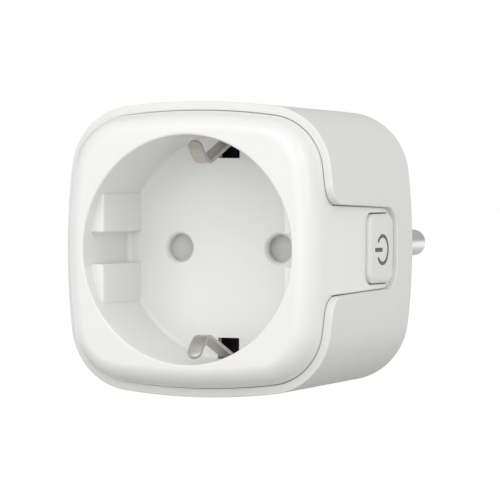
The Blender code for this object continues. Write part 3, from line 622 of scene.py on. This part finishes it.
def make_cover():
    """The front cover: the rolled front, the socket cup, the tongue and the button's opening."""
    rim, corner = RECESS_RIM, RECESS_CORNER
    mouth = [(RECESS_RADIUS + rim, -1.0)]
    for angle in (90, 72, 54, 36, 18, 0):
        turn = math.radians(angle)
        mouth.append((RECESS_RADIUS + rim - rim * math.cos(turn), rim - 0.004 - rim * math.sin(turn)))
    for angle in (0, 22.5, 45, 67.5, 90):
        turn = math.radians(angle)
        mouth.append((RECESS_RADIUS - corner + corner * math.cos(turn),
                      RECESS_DEPTH - corner + corner * math.sin(turn)))
    mouth.append((0.0, RECESS_DEPTH))

    backing = block("backing", (BACKING_INNER, SKIRT_DEPTH - 1.0, -BACKING_HALF),
                    (BACKING_OUTER, BACKING_END, BACKING_HALF), 0.2, 2)
    cup = rod("cup", (0.0, COVER_THICKNESS / 2, 0.0), FLOOR_BACK - COVER_THICKNESS / 2,
              RECESS_RADIUS + CUP_WALL, 96)
    steps = [("DIFFERENCE", rolled_front("cover_cavity", COVER_THICKNESS, SKIRT_DEPTH + 1.0)),
             ("UNION", make_tongue()), ("UNION", backing), ("UNION", cup),
             ("UNION", rod("pivot", (0.0, FLOOR_BACK - SINK, 0.0), PIVOT_LENGTH, PIVOT_RADIUS))]
    for x, z in POSTS:
        steps.append(("UNION", rod("post", (x, FLOOR_BACK - SINK, z), POST_LENGTH, POST_RADIUS)))
    steps.append(("DIFFERENCE", turned("recess", mouth, segments=128)))
    for side in (1.0, -1.0):
        for end in (1.0, -1.0):
            steps.append(("UNION", make_land(side, end)))
    for _, sign in PINS:
        hole = [(HOLE_RADIUS + 0.42, RECESS_DEPTH - 0.5), (HOLE_RADIUS + 0.42, RECESS_DEPTH - 0.02),
                (HOLE_RADIUS + 0.34, RECESS_DEPTH + 0.06), (HOLE_RADIUS + 0.08, RECESS_DEPTH + 0.32),
                (HOLE_RADIUS, RECESS_DEPTH + 0.46), (HOLE_RADIUS, 20.5)]
        steps.append(("DIFFERENCE", turned("hole", hole, (sign * PIN_X, 0.0), 64)))
    for _, sign in ENDS:
        low, high = sorted((sign * WINDOW_INNER, sign * WINDOW_OUTER))
        window = block("window", (-WINDOW_HALF, RECESS_DEPTH - 0.3, low), (WINDOW_HALF, 19.5, high))
        steps.append(("DIFFERENCE", window))
    for x, z in POSTS:
        steps.append(("DIFFERENCE", rod("bore", (x, POST_BORE_START, z), 6.0, POST_BORE_RADIUS, 24)))
    opening = []
    for x, flare in ((26.0, 0.3), (COVER_HALF + 0.02, 0.3), (COVER_HALF - 0.14, 0.1), (COVER_HALF - 0.3, 0.0),
                     (18.0, 0.0)):
        reach = BUTTON_GAP + flare
        outline = rounded_rectangle((BUTTON_FRONT - reach, -BUTTON_HALF - reach),
                                    (BUTTON_BACK + reach, BUTTON_HALF + reach), BUTTON_CORNER + reach)
        opening.append(across(outline, x))
    steps.append(("DIFFERENCE", loft("opening", opening)))
    mesh = built(rolled_front("cover", 0.0, SKIRT_DEPTH), steps)
    return piece("front_cover", mesh, COVER_WHITE, "housing", "gloss_white", "front_cover", sharp=32.0)


def make_button():
    """The square key, with a hollow back, a flange that keeps it in and a stem that meets the switch."""

    def ring(inset, x):
        outline = rounded_rectangle((BUTTON_FRONT + inset, -BUTTON_HALF + inset),
                                    (BUTTON_BACK - inset, BUTTON_HALF - inset), BUTTON_CORNER - inset)
        return across(outline, x)

    rings = [ring(0.0, 20.3)]
    for step in range(11):
        angle = math.radians(step * 90 / 10)
        rings.append(ring(SHOULDER_WIDTH * (1 - math.cos(angle)),
                          BUTTON_FACE - SHOULDER_HEIGHT * (1 - math.sin(angle))))
    flange = block("flange", (FLANGE_BACK, BUTTON_FRONT - 1.0, -FLANGE_HALF),
                   (FLANGE_FACE, BUTTON_BACK + 0.75, FLANGE_HALF), 0.15, 2)
    hollow = block("hollow", (FLANGE_BACK - 0.95, BUTTON_FRONT + BUTTON_WALL, -HOLLOW_HALF),
                   (BUTTON_FACE - 1.2, BUTTON_BACK - BUTTON_WALL, HOLLOW_HALF))
    middle = (BUTTON_FRONT + BUTTON_BACK) / 2
    stem = loft("stem", [[(x, middle + y, z) for y, z in arc((0, 0), STEM_RADIUS, 0, 360, 32)[:-1]]
                         for x in (20.2, BUTTON_FACE - 0.6)])
    mesh = built(loft("button", rings), [("UNION", flange), ("DIFFERENCE", hollow), ("UNION", stem)])
    piece("power_button", mesh, BUTTON_WHITE, "button", "gloss_white", "power_button", sharp=32.0)


def make_symbol():
    """The open ring and bar of the generic power sign, printed on the button's face."""
    centre, outer, stroke = (27.9, -0.2), 2.7, 0.62
    low, high = BUTTON_FACE - 0.05, BUTTON_FACE + 0.012
    opening = 33.0
    outline = arc(centre, outer, 180 + opening, 540 - opening, 48)
    outline += arc(centre, outer - stroke, 540 - opening, 180 + opening, 48)
    ring = loft("ring", [across(outline, low), across(outline, high)])
    depth, z = centre
    outline = rounded_rectangle((depth - 3.35, z - 0.36), (depth - 0.05, z + 0.36), 0.08, 3)
    bar = loft("bar", [across(outline, low), across(outline, high)])
    piece("power_sign_ring", ring, SYMBOL_GREY, "button", "black")
    piece("power_sign_bar", bar, SYMBOL_GREY, "button", "black")


def make_metalwork():
    """The earth clips in the recess, the rear earth contacts and the two pins."""
    for end, sign in ENDS:
        body = {"top": "upper_clip", "bottom": "lower_clip"}[end]
        path = [(y, sign * z) for y, z in softened(CLIP_PATH, 1.6, 10)]
        mesh = strip("clip", path, CLIP_WIDTH, CLIP_THICKNESS, CLIP_TIP)
        piece("earth_clip_" + end, mesh, NICKEL, body, "nickel", "earth_clip_" + end)
        path = [(y, sign * z) for y, z in softened(REAR_CONTACT_PATH, 0.9, 6)]
        mesh = strip("contact", path, REAR_CONTACT_WIDTH, REAR_CONTACT_THICKNESS)
        piece("rear_earth_contact_" + end, mesh, NICKEL, "housing", "nickel", "rear_earth_contact_" + end)
    for name, sign in PINS:
        profile = [(0.0, PIN_TIP)]
        for angle in range(0, 91, 10):
            turn = math.radians(angle)
            profile.append((PIN_RADIUS - PIN_ROUNDING * (1 - math.sin(turn)),
                            PIN_TIP - PIN_ROUNDING * (1 - math.cos(turn))))
        profile += [(PIN_RADIUS, PIN_COLLAR_END), (PIN_COLLAR_RADIUS, PIN_COLLAR_END),
                    (PIN_COLLAR_RADIUS, PIN_COLLAR_START), (PIN_SHANK_RADIUS, PIN_COLLAR_START),
                    (PIN_SHANK_RADIUS, PIN_END), (0.0, PIN_END)]
        mesh = turned("pin", profile, (sign * PIN_X, 0.0), 48)
        piece(name + "_pin", mesh, PIN_NICKEL, "housing", "nickel", name + "_pin")


def make_shutter():
    """The disc behind the two pin holes, dimpled where a pin would push."""
    front = SHUTTER_FRONT
    disc = rod("disc", (0.0, front, 0.0), SHUTTER_BACK - front, SHUTTER_RADIUS, 96)
    steps = [("DIFFERENCE", rod("bore", (0.0, front - 1.0, 0.0), 4.0, SHUTTER_BORE_RADIUS))]
    turn = math.radians(SHUTTER_TURN)
    for _, sign in PINS:
        passage = (sign * PIN_X * math.cos(turn), front - 1.0, sign * PIN_X * math.sin(turn))
        steps.append(("DIFFERENCE", rod("passage", passage, 4.0, PASSAGE_RADIUS)))
        dimple = [(2.5, front - 0.2), (2.45, front + 0.03), (2.35, front + 0.6), (2.2, front + 0.7)]
        steps.append(("DIFFERENCE", turned("dimple", dimple, (sign * PIN_X, 0.0), 48)))
        ramp = [(front + 0.9, -1.35), (front + 0.7, -1.35), (front + 0.25, -2.6), (front + 0.9, -2.6)]
        sides = [across(ramp, sign * PIN_X + x) for x in (-RAMP_HALF, RAMP_HALF)]
        steps.append(("UNION", loft("ramp", sides)))
    steps.append(("UNION", rod("peg", (5.8, SHUTTER_BACK - SINK, -1.55), 1.6, 0.6, 24)))
    piece("shutter", built(disc, steps), SHUTTER_GREY, "shutter", "light_grey", "shutter")


make_casing()
make_cover()
make_button()
make_symbol()
make_metalwork()
make_shutter()

# ---------------------------------------------------------------- finishes of the inner pieces
# The carriers' black also stands in for the shade behind the windows: painted shade.
INNER_FINISHES = {
    "contact_carrier": BLACK_AND_PAINTED_SHADE, "pin_carrier": BLACK_AND_PAINTED_SHADE, "relay_cover": BLACK_AND_PAINTED_SHADE, "switch_body": BLACK_AND_PAINTED_SHADE,
    "transformer": BLACK_AND_PAINTED_SHADE, "bridge_rectifier": BLACK_AND_PAINTED_SHADE, "main_board": BOARD, "control_board": BOARD,
    "fuse_resistor": BOARD, "switch_plunger": SHUTTER_GREY, "status_led": SHUTTER_GREY,
    "radio_module": STEEL, "relay_armature": STEEL, "shutter_spring": STEEL,
    "carrier_screw_upper": STEEL, "carrier_screw_lower": STEEL, "live_contact": BRASS,
    "neutral_contact": BRASS, "earth_bar": NICKEL, "relay_coil": COPPER, "current_shunt": COPPER,
    "bulk_capacitor": BLUE, "varistor": BLUE, "film_capacitor": YELLOW,
}
INNER_EDGE = 0.12 * MM
for node, finish in INNER_FINISHES.items():
    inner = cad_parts[node]
    inner.data.materials.clear()
    inner.data.materials.append(finish)
    edges = inner.modifiers.new("edges", "BEVEL")
    edges.width = INNER_EDGE
    edges.segments = 2
    edges.limit_method = "ANGLE"
    edges.angle_limit = math.radians(50.0)


# ---------------------------------------------------------------- studio
# Lengths are in metres and lamp strengths in watts.
ROOM_BACK = 0.35
ROOM_FRONT = 0.68
HORIZON = 1.0
FLOOR_LEVEL = -0.10
FLOOR_RADIUS = 8.0
# Painted shadow: within these distances the floor's colour darkens towards the near grey under the object.
FLOOR_PAINTED_SHADOW = (0.10, (0.48, 0.48, 0.47))
FLOOR_FAR = (0.70, (0.95, 0.95, 0.95))
FLOOR_PAINTED_GLOW = 0.45


def stage_floor():
    """A pale floor with a painted shadow that darkens it softly under the object, and a painted glow that
    brightens it further out.
    """
    mesh_data = bmesh.new()
    bmesh.ops.create_circle(mesh_data, cap_ends=True, segments=64, radius=FLOOR_RADIUS,
                            matrix=Matrix.Translation((0.0, 0.0, FLOOR_LEVEL)))
    mesh = mesh_of("floor", mesh_data)
    made, nodes, links, shader, place = node_material("floor_with_painted_shadow")
    distance = nodes.new("ShaderNodeVectorMath")
    distance.operation = "LENGTH"
    links.new(place, distance.inputs[0])
    painted_shadow_fade = nodes.new("ShaderNodeMapRange")
    painted_shadow_fade.interpolation_type = "SMOOTHSTEP"
    painted_shadow_fade.inputs["From Min"].default_value = FLOOR_PAINTED_SHADOW[0]
    painted_shadow_fade.inputs["From Max"].default_value = FLOOR_FAR[0]
    links.new(distance.outputs["Value"], painted_shadow_fade.inputs["Value"])
    links.new(blend_colours(nodes, links, painted_shadow_fade.outputs["Result"], FLOOR_PAINTED_SHADOW[1], FLOOR_FAR[1]),
              shader.inputs["Base Color"])
    shader.inputs["Roughness"].default_value = 0.9
    # Painted glow: the floor emits light that grows with distance from the object and is nil beneath it.
    painted_glow = nodes.new("ShaderNodeMath")
    painted_glow.operation = "MULTIPLY"
    painted_glow.inputs[1].default_value = FLOOR_PAINTED_GLOW
    links.new(painted_shadow_fade.outputs["Result"], painted_glow.inputs[0])
    links.new(painted_glow.outputs["Value"], shader.inputs["Emission Strength"])
    shader.inputs["Emission Color"].default_value = (1.0, 1.0, 1.0, 1.0)
    mesh.materials.append(made)
    floor = bpy.data.objects.new("floor", mesh)
    bpy.context.scene.collection.objects.link(floor)


def area_light(name, location, target, size, power):
    """A soft rectangular white lamp that faces its target."""
    data = bpy.data.lights.new(name, "AREA")
    data.shape = "RECTANGLE"
    data.size, data.size_y = size
    data.energy = power
    light = bpy.data.objects.new(name, data)
    light.location = location
    light.rotation_euler = (Vector(target) - Vector(location)).to_track_quat("-Z", "Y").to_euler()
    bpy.context.scene.collection.objects.link(light)


def white_surround():
    """A white room: brightest along the horizon, brighter in front of the object than behind it."""
    world = bpy.data.worlds.new("studio")
    world.use_nodes = True
    nodes, links = world.node_tree.nodes, world.node_tree.links
    place = nodes.new("ShaderNodeTexCoord")
    ranges = []
    for toward, start, end, low, high in (((0.0, -0.707, 0.707), -0.5, 0.5, ROOM_BACK, ROOM_FRONT),
                                          ((0.0, 0.0, 1.0), 0.04, 0.12, HORIZON, 0.0)):
        share = nodes.new("ShaderNodeVectorMath")
        share.operation = "DOT_PRODUCT"
        share.inputs[1].default_value = toward
        links.new(place.outputs["Generated"], share.inputs[0])
        mapped = nodes.new("ShaderNodeMapRange")
        mapped.interpolation_type = "SMOOTHSTEP"
        mapped.inputs["From Min"].default_value = start
        mapped.inputs["From Max"].default_value = end
        mapped.inputs["To Min"].default_value = low
        mapped.inputs["To Max"].default_value = high
        links.new(share.outputs["Value"], mapped.inputs["Value"])
        ranges.append(mapped.outputs["Result"])
    brightest = nodes.new("ShaderNodeMath")
    brightest.operation = "MAXIMUM"
    links.new(ranges[0], brightest.inputs[0])
    links.new(ranges[1], brightest.inputs[1])
    background = nodes["Background"]
    background.inputs["Color"].default_value = (1.0, 1.0, 1.0, 1.0)
    links.new(brightest.outputs["Value"], background.inputs["Strength"])
    bpy.context.scene.world = world


def make_studio():
    """The floor, four soft lamps and the white room."""
    stage_floor()
    aim = (0.0, -0.02, 0.0)
    area_light("key", (0.07, -0.53, 0.61), aim, (0.76, 0.24), 0.95)
    area_light("front", (0.0, -0.77, 0.27), aim, (1.0, 0.7), 1.25)
    area_light("front_right", (0.50, -0.62, 0.18), aim, (0.6, 0.5), 0.55)
    area_light("right_strip", (0.71, -0.15, 0.34), aim, (0.2, 0.6), 0.6)
    white_surround()
    bpy.context.scene.view_settings.view_transform = "Standard"


# Azimuth, elevation and roll in degrees; distance, shift aside and shift up in metres; lens in millimetres.
CAMERA_ANGLES = (24.492, 1.283, 0.166)
CAMERA_OFFSETS = (0.750, -0.001531, -0.000597)
CAMERA_LENS = 307.09


def make_camera():
    """The camera stands 750 mm from the middle of the casing, right of the front and a little above."""
    azimuth, elevation, roll = (math.radians(angle) for angle in CAMERA_ANGLES)
    distance, aside, raised = CAMERA_OFFSETS
    back = Vector((math.sin(azimuth) * math.cos(elevation), -math.cos(azimuth) * math.cos(elevation),
                   math.sin(elevation)))
    right = Vector((math.cos(azimuth), math.sin(azimuth), 0.0))
    up = back.cross(right)
    pivot = Vector((0.0, FRONT_FACE + 30.0 * MM, 0.0))
    data = bpy.data.cameras.new("camera")
    data.sensor_width = 36.0
    data.lens = CAMERA_LENS
    data.clip_start = 0.01
    data.clip_end = 50.0
    camera = bpy.data.objects.new("camera", data)
    turned_right = right * math.cos(roll) + up * math.sin(roll)
    turned_up = up * math.cos(roll) - right * math.sin(roll)
    place = Matrix.Translation(pivot + back * distance + right * aside + up * raised)
    camera.matrix_world = place @ Matrix((turned_right, turned_up, back)).transposed().to_4x4()
    bpy.context.scene.collection.objects.link(camera)
    bpy.context.scene.camera = camera


make_studio()
make_camera()
